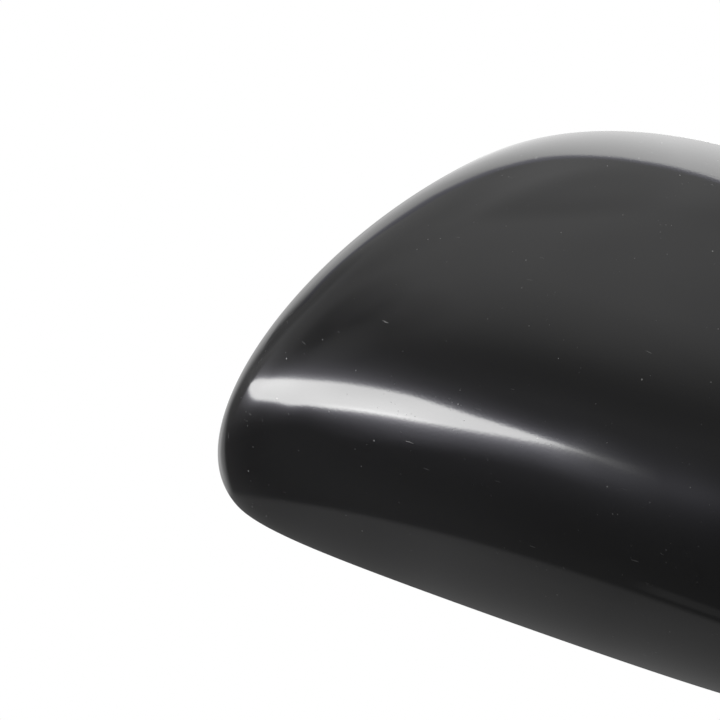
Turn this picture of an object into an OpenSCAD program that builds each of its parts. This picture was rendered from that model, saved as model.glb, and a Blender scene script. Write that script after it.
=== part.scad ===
// Wing mirror cover: the one-piece moulded cap that closes the front, top and ends of a car's door
// mirror. The show surface faces -Y, the open rear rim lies in the plane of the mirror glass and the
// open bottom edge is the parting line to the lower housing. +Z is up, the outboard end is at -X.

/* [Outline] */
// Half length of the cover at its bottom edge, seen from the front
outline_half_l = 122.5; // [100:0.5:150]
// Height of the outline ellipse above its widest point
outline_h = 129.5; // [105:0.5:156]
// Height of that widest point above the bottom edge
outline_rise = 5.5; // [2:0.5:9]
// Sideways lean of the outline towards the inboard end, per unit of height
outline_lean = 0.174; // [0.12:0.002:0.24]
// Depth over which the sides would close in to a point: their draft
side_draft_d = 180; // [150:1:230]

/* [Front face] */
// Depth of the front crown in front of the rear rim
crown_d = 92; // [75:1:112]
// Half length of the crown ellipsoid, several times the outline's, so the face runs nearly straight
crown_half_l = 560; // [450:5:680]
// Half height of the crown ellipsoid
crown_half_h = 87; // [72:0.5:105]
// Height of the crown's centre above the bottom edge: below it the face turns under
crown_rise = 58.5; // [48:0.5:70]
// Shift of the crown's centre towards the outboard end
crown_shift = 6.5; // [4:0.5:12]
// Sideways lean of the crown towards the outboard end, per unit of height
crown_lean = 0.5; // [0.4:0.01:0.6]
// How tightly the sides turn into the front face: a higher value gives a sharper shoulder
shoulder = 6.6; // [5.2:0.1:8]

/* [Wall and rim] */
// Wall thickness
wall = 2.5; // [2:0.1:3.2]
// Rounding of the outer edge of both rims
edge_r = 0.6; // [0.4:0.05:0.9]
// Thickness of the thin lip that seats in the groove of the housing
lip_t = 1.3; // [1:0.05:1.7]
// Height of that lip
lip_h = 3; // [2:0.1:4]

/* [Snap hooks] */
// Width of a hook
hook_w = 9; // [7:0.5:12]
// Thickness of its spring arm
hook_t = 1.8; // [1.4:0.1:2.4]
// Length of the arm from its root to its tip
hook_l = 17; // [13:0.5:22]
// Gap between the arm and the inner skin
hook_gap = 3.6; // [2.8:0.1:4.6]
// Catch of the barb at the tip
barb = 1.5; // [1.1:0.1:2]
// Length of the barb's lead-in slope
barb_l = 4.5; // [3.5:0.1:6]
// Thickness of the root that ties the arm to the wall
hook_root_t = 2.4; // [1.8:0.1:3]
// Thickness of the two gussets behind the arm
gusset_t = 1.2; // [0.9:0.1:1.6]
// Distance from the rear rim's plane to the tips of its hooks
hook_inset = 4; // [3:0.25:6]
// Height of the front hooks' roots above the bottom edge
front_hook_h = 20; // [16.5:0.5:25]

/* [Locating pins] */
// Radius of a pin
pin_r = 2.5; // [2:0.1:3.2]
// Straight length of a pin above its bracket
pin_l = 10; // [8:0.5:13]
// Length of the tapered tip
pin_tip_l = 1.5; // [1:0.1:2]
// Distance from the inner skin to the pin's axis
pin_off = 6.5; // [5.5:0.1:8.5]
// Distance from the rear rim's plane to the tip
pin_inset = 3; // [2:0.25:5]
// Thickness of the bracket and its web
bracket_t = 2.6; // [2:0.1:3.4]
// Ledge of the bracket round the foot of the pin
bracket_ledge = 1.5; // [1:0.1:2]

/* [Screw boss] */
// Outer radius of the boss
boss_r = 4.5; // [4:0.1:5.6]
// Radius of the pilot bore for the screw
boss_bore_r = 1.6; // [1.3:0.05:2]
// Length of the boss
boss_l = 18; // [14:0.5:22]
// Depth of the pilot bore
boss_bore_l = 14; // [11:0.5:17]
// Distance from the inner skin to the boss's axis
boss_off = 11; // [9:0.25:13.5]
// Distance from the rear rim's plane to the boss's face
boss_inset = 6; // [4:0.25:8]
// Thickness of the web that carries the boss
boss_web_t = 2; // [1.6:0.1:2.6]

/* [Ribs] */
// Thickness of a stiffening rib
rib_t = 1.4; // [1:0.1:1.8]
// Height of a rib above the inner skin
rib_h = 6; // [4:0.25:8]
// Distance between the upright ribs
rib_pitch = 58; // [46:1:70]
// Elevation of the lengthwise rib, seen from the middle of the bottom rear line
long_rib_a = 47; // [39:1:56]

/* [Hidden] */

// Steps along the rear rim, along the bottom edge, and from the rims to the hub of the skins
REAR_STEPS = 56;
BOTTOM_STEPS = 56;
OUTER_STEPS = 18;
INNER_STEPS = 14;
STEPS_ROUND = REAR_STEPS + BOTTOM_STEPS;
// Direction of the hub, where all rows of the skins meet
HUB = unit([0, -1, 1]);
// Each ellipsoid: centre x, centre z, half length, depth, half height, lean
OUTLINE = [0, outline_rise, outline_half_l, side_draft_d, outline_h, outline_lean];
CROWN = [-crown_shift, crown_rise, crown_half_l, crown_d, crown_half_h, -crown_lean];
// Halvings and longest span of a search along a line
HALVINGS = 24;
FAR = 400;
// Small length for slopes
EPS = 0.01;
// How deep inner features are rooted in the wall, and how far from a seat its neighbourhood is sought
BITE = wall / 2;
SEEK = 30;
// Facets round a bar
ROUND = 48;
// Share of a hook's length that its gussets take, and of the boss's length that its web takes
GUSSET_SHARE = 0.5;
BOSS_WEB_SHARE = 0.8;

// Angles of the hooks round the rear rim, from the outboard end over the top
REAR_HOOKS = [26, 58, 90, 124, 154];
// Angles of the hooks along the front wall, from the outboard end round the front
FRONT_HOOKS = [52, 90, 128];
// Angles of the locating pins round the rear rim
REAR_PINS = [42, 107];
// Angle of the screw boss round the rear rim
BOSS_ANGLE = 170;
// Number of upright ribs, and the elevations between which they run
RIBS = 3;
RIB_FROM = 24;
RIB_TO = 66;
// Share of the half length that the lengthwise rib spans
LONG_RIB_SPAN = 0.72;
RIB_STEPS = 24;

function unit(v) = v / norm(v);

// Distance from the datum along d to the ellipsoid e, with w taken off each of its half axes
function span(d, e, w) =
    let (
        size = [e[2] - w, e[3] - w, e[4] - w],
        m = [(d.x - e[5] * d.z) / size.x, d.y / size.y, d.z / size.z],
        o = [(e[0] - e[5] * e[1]) / size.x, 0, e[1] / size.z],
        mm = m * m,
        mo = m * o
    )
    (mo + sqrt(mo * mo - mm * (o * o - 1))) / mm;

// Distance from the datum along d to the skin that lies w under the show surface
function skin(d, w) =
    pow(pow(span(d, OUTLINE, w), -shoulder) + pow(span(d, CROWN, w), -shoulder), -1 / shoulder);

function depth_ratio(p, w) = norm(p) / skin(unit(p), w);

// Distance from point o along direction u to that skin, found by halving
function reach(o, u, w, near = 0, far = FAR, n = HALVINGS) =
    let (mid = (near + far) / 2)
    n == 0 ? mid
    : depth_ratio(o + mid * u, w) < 1 ? reach(o, u, w, mid, far, n - 1)
    : reach(o, u, w, near, mid, n - 1);

// Outward direction of that skin at point p
function outward(p, w) =
    unit([for (e = [[EPS, 0, 0], [0, EPS, 0], [0, 0, EPS]])
        depth_ratio(p + e, w) - depth_ratio(p - e, w)]);

// Direction at angle a round the rear rim, and at angle a round the bottom edge
function rear_dir(a) = [-cos(a), 0, sin(a)];
function bottom_dir(a) = [-cos(a), -sin(a), 0];

// The closed loop at distance s inside both rim planes, on the skin w under the show surface
function loop(s, w) =
    let (o = [0, -s, s])
    [for (i = [0 : STEPS_ROUND - 1])
        let (u = i <= REAR_STEPS ? rear_dir(180 * i / REAR_STEPS)
            : bottom_dir(180 * (STEPS_ROUND - i) / BOTTOM_STEPS))
        o + reach(o, u, w) * u];

// Loops of the skin between a rim loop and the hub, nearest the rim first
function skin_loops(rim, w, steps) =
    [for (k = [1 : steps - 1])
        [for (p = rim) let (d = unit(unit(p) * (1 - k / steps) + HUB * k / steps)) skin(d, w) * d]];

function backwards(v) = [for (i = [len(v) - 1 : -1 : 0]) v[i]];

// The wall's section as loops: show surface, rounded edge, lip, seat behind the lip, inner skin
outer_rim = loop(edge_r, 0);
inner_rim = loop(lip_h, wall);
edge_mid = edge_r * (1 - cos(45));
loops = concat(
    backwards(skin_loops(outer_rim, 0, OUTER_STEPS)),
    [outer_rim, loop(edge_mid, edge_mid), loop(0, edge_r), loop(0, lip_t), loop(lip_h, lip_t)],
    [inner_rim],
    skin_loops(inner_rim, wall, INNER_STEPS)
);
outer_hub = skin(HUB, 0) * HUB;
inner_hub = skin(HUB, wall) * HUB;
points = concat([outer_hub], [for (l = loops) each l], [inner_hub]);

// The middle of the cover's length and depth goes to the origin
xs = [for (p = points) p.x];
ys = [for (p = points) p.y];
middle = [(min(xs) + max(xs)) / 2, (min(ys) + max(ys)) / 2, 0];

function at(row, i) = 1 + row * STEPS_ROUND + i % STEPS_ROUND;
last_row = len(loops) - 1;
faces = concat(
    [for (i = [0 : STEPS_ROUND - 1]) [0, at(0, i), at(0, i + 1)]],
    [for (row = [0 : last_row - 1], i = [0 : STEPS_ROUND - 1])
        each [[at(row, i), at(row + 1, i), at(row + 1, i + 1)], [at(row, i), at(row + 1, i + 1), at(row, i + 1)]]],
    [for (i = [0 : STEPS_ROUND - 1]) [at(last_row, i), len(points) - 1, at(last_row, i + 1)]]
);

module shell() {
    polyhedron(points = points, faces = faces);
}

// A place on the inner skin where the line from o along u meets it: its point, the way out through
// the skin, and the way its feature stands, to the rear
function place_on(o, u) =
    let (p = o + reach(o, u, wall) * u, n = outward(p, wall))
    [p, unit([n.x, 0, n.z]), [0, 1, 0]];

// At angle a round the rear rim and depth d in front of its plane
function rear_place(a, d) = place_on([0, -d, 0], rear_dir(a));

// At angle a along the front wall and height h above the bottom edge
function front_place(a, h) = place_on([0, 0, h], bottom_dir(a));

// Where the inner skin lies in such a place, at y along the feature and z across it
function skin_x(place, y, z = 0) =
    let (o = place[0] + y * place[2] + z * cross(place[1], place[2]) - SEEK * place[1])
    reach(o, place[1], wall, 0, 2 * SEEK) - SEEK;

// How far out the root of a feature goes there: halfway into the wall
function root_x(place, y, z = 0) = skin_x(place, y, z) + BITE;

// Places its children there: local x points out of the skin and local y along the feature
module at_place(place) {
    z = cross(place[1], place[2]);
    multmatrix([for (i = [0 : 2]) [place[1][i], place[2][i], z[i], place[0][i]]]) children();
}

module slab(t, outline) {
    linear_extrude(height = t, center = true) polygon(outline);
}

// Round bar along local y from 0 to l, its axis at local x
module bar(x, r, l) {
    translate([x, 0, 0]) rotate([-90, 0, 0]) cylinder(r = r, h = l, $fn = ROUND);
}

// Spring arm with a barb at its tip, tied to the wall by a root and two gussets
module snap_hook(place) {
    back = min(skin_x(place, 0), skin_x(place, hook_l)) - hook_gap;
    arm = back - hook_t;
    gusset_l = hook_l * GUSSET_SHARE;
    at_place(place) {
        slab(hook_w, [
            [root_x(place, 0), 0],
            [root_x(place, hook_root_t), hook_root_t],
            [back, hook_root_t],
            [back, hook_l],
            [arm, hook_l],
            [arm - barb, hook_l - barb_l],
            [arm, hook_l - barb_l - barb / 2],
            [arm, 0]
        ]);
        for (z = [-1, 1] * (hook_w - gusset_t) / 2)
            translate([0, 0, z])
                slab(gusset_t, [
                    [root_x(place, 0, z), 0],
                    [root_x(place, gusset_l / 2, z), gusset_l / 2],
                    [root_x(place, gusset_l, z), gusset_l],
                    [skin_x(place, gusset_l, z) - BITE, gusset_l],
                    [back, hook_root_t],
                    [back, 0]
                ]);
    }
}

// Round pin with a tapered tip on a bracket that stands off the wall, and a web under the bracket
module locating_pin(place) {
    inner_x = -pin_off - pin_r - bracket_ledge;
    at_place(place) {
        slab(2 * (pin_r + bracket_ledge), [
            [root_x(place, 0), 0],
            [root_x(place, bracket_t), bracket_t],
            [inner_x, bracket_t],
            [inner_x, 0]
        ]);
        slab(bracket_t, [
            [root_x(place, 0), 0],
            [inner_x, 0],
            [skin_x(place, -pin_l) - BITE, -pin_l],
            [root_x(place, -pin_l), -pin_l],
            [root_x(place, -pin_l / 2), -pin_l / 2]
        ]);
        bar(-pin_off, pin_r, bracket_t + pin_l);
        translate([-pin_off, bracket_t + pin_l, 0]) rotate([-90, 0, 0])
            cylinder(r1 = pin_r, r2 = pin_r - pin_tip_l / 2, h = pin_tip_l, $fn = ROUND);
    }
}

// Round boss with a blind pilot bore, carried by a web
module screw_boss(place) {
    web_l = boss_l * BOSS_WEB_SHARE;
    at_place(place)
        difference() {
            union() {
                slab(boss_web_t, [
                    [root_x(place, 0), 0],
                    [root_x(place, web_l / 2), web_l / 2],
                    [root_x(place, web_l), web_l],
                    [-boss_off, web_l],
                    [-boss_off, 0]
                ]);
                bar(-boss_off, boss_r, boss_l);
            }
            translate([0, boss_l - boss_bore_l, 0]) bar(-boss_off, boss_bore_r, boss_bore_l + 1);
        }
}

// Height of a rib at share t of its run: it rises from the skin at both ends
function rib_height(t) = rib_h * min(1, 5 * t, 5 * (1 - t));

// A rib's outline from its seats on the inner skin: rows of origin, direction and distance
function rib_outline(seats) =
    let (n = len(seats) - 1)
    concat(
        [for (i = [0 : n]) seats[i][0] + seats[i][1] * (seats[i][2] + BITE)],
        [for (i = [n : -1 : 0]) seats[i][0] + seats[i][1] * (seats[i][2] - rib_height(i / n))]
    );

// Upright rib at position x, from above the front hooks to in front of the rear hooks
module upright_rib(x) {
    seats = [for (i = [0 : RIB_STEPS])
        let (a = RIB_FROM + (RIB_TO - RIB_FROM) * i / RIB_STEPS)
        [[0, 0], [cos(a), sin(a)], reach([x, 0, 0], [0, -cos(a), sin(a)], wall)]];
    translate([x, 0, 0]) rotate([90, 0, -90]) slab(rib_t, rib_outline(seats));
}

// Lengthwise rib
module long_rib() {
    span_l = outline_half_l * LONG_RIB_SPAN;
    seats = [for (i = [0 : RIB_STEPS])
        let (x = span_l * (2 * i / RIB_STEPS - 1))
        [[x, 0], [0, 1], reach([x, 0, 0], [0, -cos(long_rib_a), sin(long_rib_a)], wall)]];
    rotate([180 - long_rib_a, 0, 0]) slab(rib_t, rib_outline(seats));
}

module mirror_cover() {
    color([0.05, 0.05, 0.055])
        translate(-middle) {
            shell();
            for (a = REAR_HOOKS) snap_hook(rear_place(a, hook_inset + hook_l));
            for (a = FRONT_HOOKS) snap_hook(front_place(a, front_hook_h));
            for (a = REAR_PINS) locating_pin(rear_place(a, pin_inset + pin_tip_l + pin_l + bracket_t));
            screw_boss(rear_place(BOSS_ANGLE, boss_inset + boss_l));
            for (i = [0 : RIBS - 1]) upright_rib((i - (RIBS - 1) / 2) * rib_pitch);
            long_rib();
        }
}

mirror_cover();
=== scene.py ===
import math

import bpy
import numpy as np
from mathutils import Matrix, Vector


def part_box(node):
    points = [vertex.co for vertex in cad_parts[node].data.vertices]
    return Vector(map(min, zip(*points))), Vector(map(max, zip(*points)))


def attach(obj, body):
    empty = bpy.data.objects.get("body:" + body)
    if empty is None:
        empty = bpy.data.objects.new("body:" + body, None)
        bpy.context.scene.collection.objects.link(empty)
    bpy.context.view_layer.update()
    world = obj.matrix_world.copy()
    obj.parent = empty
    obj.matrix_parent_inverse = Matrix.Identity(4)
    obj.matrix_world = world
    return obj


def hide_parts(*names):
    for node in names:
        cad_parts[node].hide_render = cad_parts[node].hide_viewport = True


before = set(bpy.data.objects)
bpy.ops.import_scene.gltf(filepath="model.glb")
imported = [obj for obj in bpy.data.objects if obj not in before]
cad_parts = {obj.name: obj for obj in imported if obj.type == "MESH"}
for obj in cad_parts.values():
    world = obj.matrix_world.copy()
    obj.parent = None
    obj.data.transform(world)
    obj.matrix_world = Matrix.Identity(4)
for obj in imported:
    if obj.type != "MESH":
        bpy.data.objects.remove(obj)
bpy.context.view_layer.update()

NODE = "mirror_cover"
MM = 0.001

# Camera: the photograph's own view, fitted to the cover's outline; distance, aim and near limit in metres
CAMERA_AZIMUTH = 36.89
CAMERA_ELEVATION = 23.81
CAMERA_DISTANCE = 0.864
CAMERA_AIM = (-0.05304, -0.02097, 0.06504)
CAMERA_NEAR = 0.01
CAMERA_LENS = 155.17
SENSOR = 36.0

# The datum is the middle of the length, where the rear rim's plane (y = 0) meets the bottom edge's (z = 0).
# The two ellipsoids that the show surface blends: centre x, centre z, half length, depth, half height, lean
OUTLINE = (0, 5.5, 122.5, 180, 129.5, 0.174)
CROWN = (-6.5, 58.5, 560, 92, 87, -0.5)
SHOULDER = 6.6

# Wall, rounded edge and lip
WALL = 2.5
EDGE_R = 0.6
LIP_T = 1.3
LIP_H = 3.0
LIP_SOFT = 0.2
LIP_SEAT_R = 0.3

# Steps of the fine mesh
RIM_STEPS = 320
OUTER_STEPS = 150
INNER_STEPS = 40
EDGE_STEPS = 5

# Snap hooks
HOOK_W = 9.0
HOOK_T = 1.8
HOOK_L = 17.0
HOOK_GAP = 3.6
BARB = 1.5
BARB_L = 4.5
HOOK_ROOT_T = 2.4
HOOK_ROOT_R = 0.8
HOOK_BEND_R = 0.5
HOOK_TIP_R = 0.4
HOOK_FOOT_R = 0.7
GUSSET_T = 1.2
GUSSET_SHARE = 0.5
GUSSET_TOP_R = 0.6
GUSSET_R = 0.3
GUSSET_LAP = 0.4
HOOK_INSET = 4.0
REAR_HOOKS = (26, 58, 90, 124, 154)
FRONT_HOOKS = (52, 90, 128)
FRONT_HOOK_H = 20.0

# Locating pins
PIN_R = 2.5
PIN_L = 10.0
PIN_TIP_L = 1.5
PIN_OFF = 6.5
PIN_INSET = 3.0
PIN_SUNK = 1.0
PIN_FOOT_R = 0.8
PIN_FOOT_SUNK = 0.2
PIN_TIP_SOFT = (0.2, 0.3)
BRACKET_T = 2.6
BRACKET_LEDGE = 1.5
BRACKET_R = 1.0
PIN_WEB_R = 0.4
PIN_WEB_DROP = 0.6
PIN_WEB_FOOT_R = 0.8
REAR_PINS = (42, 107)

# Screw boss
BOSS_R = 4.5
BOSS_BORE_R = 1.6
BOSS_L = 18.0
BOSS_BORE_L = 14.0
BOSS_OFF = 11.0
BOSS_INSET = 6.0
BOSS_WEB_T = 2.0
BOSS_WEB_SHARE = 0.8
BOSS_WEB_R = 0.5
BOSS_BASE_SOFT = 0.4
BOSS_SOFT = 0.5
BOSS_BORE_TIP = 0.6
BOSS_ANGLE = 170

# Ribs
RIB_T = 1.4
RIB_H = 6.0
RIB_PITCH = 58.0
RIBS = 3
RIB_FROM = 24.0
RIB_TO = 66.0
LONG_RIB_ANGLE = 47.0
LONG_RIB_SPAN = 0.72
RIB_STEPS = 60
# Share of a rib's length over which each end runs out, its least height and how many steps smooth it
RIB_RUNOUT = 0.2
RIB_END_H = 0.05
RIB_SMOOTH = 7

# How deep features are rooted in the wall, how far from a seat its neighbourhood is sought,
# the longest span of a search, and the small length for slopes
BITE = WALL / 2
SEEK = 30.0
FAR = 400.0
HALVINGS = 40
EPS = 0.01

# Moulded details: rounding of free edges and of small parts, where a two-step rounding has its middle,
# fillet at the ribs' roots, ejector marks, steps of a turned body
SOFT_EDGE = 0.3
GUSSET_SOFT = 0.2
BRACKET_SOFT = 0.5
WEB_SOFT = 0.4
ROUND_SHARE = 0.3
FILLET = 0.9
FILLET_STEPS = 5
EJECTOR_R = 3.2
EJECTOR_H = 0.25
EJECTOR_SOFT = 0.1
EJECTORS = [(x, angle) for x in (-29, 29) for angle in (34, 60)] + [(-86, 36), (86, 36)]
ROUND = 64
CREASE = 35


# The shape

def unit(v):
    return v / np.linalg.norm(v, axis=-1, keepdims=True)


def span(d, ellipsoid, inset):
    """Distance from the datum along d to the ellipsoid, with inset taken off each of its half axes."""
    x, z, half_l, depth, half_h, lean = ellipsoid
    size = np.array([half_l, depth, half_h]) - inset
    m = np.stack([d[..., 0] - lean * d[..., 2], d[..., 1], d[..., 2]], -1) / size
    o = np.array([x - lean * z, 0, z]) / size
    mm = (m * m).sum(-1)
    mo = m @ o
    return (mo + np.sqrt(mo * mo - mm * (o @ o - 1))) / mm


def skin(d, inset):
    """Distance from the datum along d to the skin that lies inset under the show surface."""
    both = span(d, OUTLINE, inset) ** -SHOULDER + span(d, CROWN, inset) ** -SHOULDER
    return both ** (-1 / SHOULDER)


def depth_ratio(p, inset):
    return np.linalg.norm(p, axis=-1) / skin(unit(p), inset)


def reach(origin, u, inset, near=0.0, far=FAR):
    """Distance from each origin along u to that skin, found by halving."""
    origin, u = np.broadcast_arrays(np.asarray(origin, float), np.asarray(u, float))
    near = np.full(origin.shape[:-1], near)
    far = np.full(origin.shape[:-1], far)
    for _ in range(HALVINGS):
        middle = (near + far) / 2
        inside = depth_ratio(origin + middle[..., None] * u, inset) < 1
        near = np.where(inside, middle, near)
        far = np.where(inside, far, middle)
    return (near + far) / 2


def outward(p, inset):
    """Outward direction of that skin at each point p."""
    p = np.asarray(p, float)
    slopes = [depth_ratio(p + e, inset) - depth_ratio(p - e, inset) for e in np.eye(3) * EPS]
    return unit(np.stack(slopes, -1))


def rear_dir(angle):
    a = np.radians(angle)
    return np.stack([-np.cos(a), 0 * a, np.sin(a)], -1)


def bottom_dir(angle):
    a = np.radians(angle)
    return np.stack([-np.cos(a), -np.sin(a), 0 * a], -1)


ANGLES = np.linspace(0, 180, RIM_STEPS + 1)


def rim_arcs(inside, inset):
    """The rear and the bottom arc on the skin that lies inset under the show surface.

    Each runs at the distance inside from both rim planes.
    """
    origin = np.array([0, -inside, inside], float)
    arcs = []
    for way in (rear_dir(ANGLES), bottom_dir(ANGLES)):
        arcs.append(origin + reach(origin, way, inset)[:, None] * way)
    return arcs


def skin_patch(arcs, inset, steps):
    """Rows of points over a skin, from the rear arc to the bottom arc."""
    rear, bottom = unit(arcs[0]), unit(arcs[1])
    share = np.linspace(0, 1, steps + 1)[None, 1:-1, None]
    turn = np.arccos(np.clip((rear * bottom).sum(-1), -1, 1))[:, None, None]
    turn = np.maximum(turn, 1e-9)
    d = (np.sin((1 - share) * turn) * rear[:, None] + np.sin(share * turn) * bottom[:, None]) / np.sin(turn)
    d[0] = rear[0]
    d[-1] = rear[-1]
    d = unit(d)
    inner = skin(d, inset)[..., None] * d
    return np.concatenate([arcs[0][:, None], inner, arcs[1][:, None]], 1)


outer_arcs = rim_arcs(EDGE_R, 0)
outer_patch = skin_patch(outer_arcs, 0, OUTER_STEPS)

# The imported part's box says where the datum lies in the frame, and how much its facets cut off the true shape
node_low, node_high = (np.array(corner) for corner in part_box(NODE))


def extent_of_rims():
    """Lowest and highest corner of the datum shape, its rims included."""
    rims = [np.concatenate(rim_arcs(0, EDGE_R)), outer_patch.reshape(-1, 3)]
    points = np.concatenate(rims)
    return points.min(0), points.max(0)


shape_low, shape_high = extent_of_rims()
FIT = (node_high - node_low) / (shape_high - shape_low)


def to_row(points):
    """Millimetres from the datum to metres in the frame."""
    return node_low + (np.asarray(points, float) - shape_low) * FIT


# Meshes

# Half angle above which a corner counts as straight, the most that an arc takes of a side, its steps
STRAIGHT = 89
ARC_SHARE = 0.49
ARC_STEPS = 6
# Least mitre of an inset corner, steps of a slab's rounded rim, steps of a root along the wall
MITRE = 0.35
RIM_ROUND_STEPS = 3
ROOT_STEPS = 4


def new_piece(name, points, faces, materials, face_material=None, normals=None, crease=None):
    """A mesh object of this part, from points in millimetres from the datum."""
    mesh = bpy.data.meshes.new(name)
    mesh.from_pydata(to_row(points).tolist(), [], [list(map(int, f)) for f in faces])
    for material in materials:
        mesh.materials.append(material)
    if face_material is not None:
        mesh.polygons.foreach_set("material_index", np.asarray(face_material, np.int32))
    mesh.shade_smooth()
    if crease is not None:
        mesh.set_sharp_from_angle(angle=math.radians(crease))
    mesh.validate()
    if normals is not None:
        mesh.normals_split_custom_set_from_vertices(normals.tolist())
    mesh.update()
    piece = bpy.data.objects.new(name, mesh)
    bpy.context.scene.collection.objects.link(piece)
    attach(piece, "root")
    return piece


class Parts:
    """Points and faces gathered from several closed bodies into one mesh."""

    def __init__(self):
        self.points = []
        self.faces = []
        self.count = 0

    def add(self, points, faces):
        self.points.append(np.asarray(points, float))
        self.faces += [[self.count + i for i in f] for f in faces]
        self.count += len(points)

    def piece(self, name, material):
        return new_piece(name, np.concatenate(self.points), self.faces, [material], crease=CREASE)


def ring_faces(rings, count, closed=True):
    """Quads between neighbouring rings of count points each."""
    faces = []
    last = count if closed else count - 1
    for row in range(rings - 1):
        for i in range(last):
            j = (i + 1) % count
            here, above = row * count, (row + 1) * count
            faces.append((here + i, here + j, above + j, above + i))
    return faces


def rounded(corners):
    """A flat outline with each corner (x, y, radius) turned into an arc."""
    out = []
    count = len(corners)
    spots = [np.array(c[:2], float) for c in corners]
    for i, (x, y, radius) in enumerate(corners):
        here, before, after = spots[i], spots[i - 1], spots[(i + 1) % count]
        a, b = before - here, after - here
        la, lb = np.linalg.norm(a), np.linalg.norm(b)
        a, b = a / la, b / lb
        half = math.acos(np.clip(a @ b, -1, 1)) / 2
        if radius <= 0 or half > math.radians(STRAIGHT):
            out.append(here)
            continue
        cut = min(radius / math.tan(half), ARC_SHARE * la, ARC_SHARE * lb)
        radius = cut * math.tan(half)
        centre = here + unit(a + b) * radius / math.sin(half)
        start, end = here + a * cut - centre, here + b * cut - centre
        for k in range(ARC_STEPS + 1):
            t = k / ARC_STEPS
            ray = unit(start * (1 - t) + end * t)
            out.append(centre + ray * radius)
    return np.array(out)


def inset_outline(outline, distance):
    """The outline moved inwards; outlines run counter-clockwise."""
    before, after = np.roll(outline, 1, 0), np.roll(outline, -1, 0)
    a, b = unit(outline - before + 1e-12), unit(after - outline + 1e-12)
    na = np.stack([-a[:, 1], a[:, 0]], 1)
    nb = np.stack([-b[:, 1], b[:, 0]], 1)
    mitre = na + nb
    mitre /= np.maximum((mitre * na).sum(1), MITRE)[:, None]
    return outline + mitre * distance


def prism(outline, thickness, soft=SOFT_EDGE):
    """A closed slab of that outline, its two rims rounded: points (x, y, z) and faces."""
    after = np.roll(outline, -1, 0)
    if np.sum(outline[:, 0] * after[:, 1] - outline[:, 1] * after[:, 0]) < 0:
        outline = outline[::-1]
    count = len(outline)
    half = thickness / 2
    rings = []
    for side in (-1, 1):
        bends = [math.radians(90 * k / RIM_ROUND_STEPS) for k in range(RIM_ROUND_STEPS + 1)]
        if side > 0:
            bends = bends[::-1]
        for bend in bends:
            flat = inset_outline(outline, soft * (1 - math.sin(bend)))
            level = side * (half - soft * (1 - math.cos(bend)))
            rings.append(np.column_stack([flat, np.full(count, level)]))
    faces = ring_faces(len(rings), count)
    top = (len(rings) - 1) * count
    faces.append(tuple(range(count))[::-1])
    faces.append(tuple(top + i for i in range(count)))
    return np.concatenate(rings), faces


def revolved(profile):
    """A closed body turned round local y from a profile of (radius, y); zero radius closes an end."""
    count = ROUND
    points, rows = [], []
    for radius, y in profile:
        if radius <= 0:
            rows.append([len(points)])
            points.append((0, y, 0))
            continue
        rows.append(list(range(len(points), len(points) + count)))
        for i in range(count):
            a = 2 * math.pi * i / count
            points.append((radius * math.cos(a), y, -radius * math.sin(a)))
    faces = []
    for low, high in zip(rows[:-1], rows[1:]):
        for i in range(count):
            j = (i + 1) % count
            if len(low) == 1 and len(high) > 1:
                faces.append((low[0], high[j], high[i]))
            elif len(high) == 1 and len(low) > 1:
                faces.append((low[i], low[j], high[0]))
            elif len(low) > 1:
                faces.append((low[i], low[j], high[j], high[i]))
    return np.array(points, float), faces


# Places of the inner features

def place_on(origin, way):
    """Point on the inner skin, outward x and standing y of a feature that stands to the rear."""
    point = origin + reach(origin, way, WALL) * way
    out = outward(point, WALL) * (1, 0, 1)
    return point, unit(out), np.array([0, 1.0, 0])


def rear_place(angle, depth):
    return place_on(np.array([0, -depth, 0], float), rear_dir(angle))


def front_place(angle, height):
    return place_on(np.array([0, 0, height], float), bottom_dir(angle))


def skin_x(place, y, z=0.0):
    """Where the inner skin lies in such a place, at y along the feature and z across it."""
    point, out, stand = place
    origin = point + y * stand + z * np.cross(out, stand) - SEEK * out
    return float(reach(origin, out, WALL, 0.0, 2 * SEEK)) - SEEK


def at_place(place, points, shift=(0, 0, 0)):
    """Local points of a feature to datum points."""
    point, out, stand = place
    axes = np.stack([out, stand, np.cross(out, stand)])
    return point + (np.asarray(points, float) + shift) @ axes


def root_outline(place, low, high, z=0.0):
    """Outline corners of a root from local y low to high, halfway into the wall."""
    return [(skin_x(place, y, z) + BITE, y, 0) for y in np.linspace(low, high, ROOT_STEPS + 1)]


def snap_hook(parts, place):
    """A blade with a barb and its lead-in slope, held by two gussets."""
    back = min(skin_x(place, 0), skin_x(place, HOOK_L)) - HOOK_GAP
    arm = back - HOOK_T
    gusset_l = HOOK_L * GUSSET_SHARE
    blade = rounded(root_outline(place, 0, HOOK_ROOT_T) + [
        (back, HOOK_ROOT_T, HOOK_ROOT_R),
        (back, HOOK_L, HOOK_BEND_R),
        (arm, HOOK_L, HOOK_TIP_R),
        (arm - BARB, HOOK_L - BARB_L, HOOK_TIP_R),
        (arm, HOOK_L - BARB_L - BARB / 2, HOOK_BEND_R),
        (arm, 0, HOOK_FOOT_R),
    ])
    points, faces = prism(blade, HOOK_W)
    parts.add(at_place(place, points), faces)
    for z in (-(HOOK_W - GUSSET_T) / 2, (HOOK_W - GUSSET_T) / 2):
        gusset = rounded(root_outline(place, 0, gusset_l, z) + [
            (skin_x(place, gusset_l, z) - BITE, gusset_l, GUSSET_TOP_R),
            (back, HOOK_ROOT_T, GUSSET_R),
            (back - GUSSET_LAP, 0, GUSSET_R),
        ])
        points, faces = prism(gusset, GUSSET_T, GUSSET_SOFT)
        parts.add(at_place(place, points, (0, 0, z)), faces)


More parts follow.
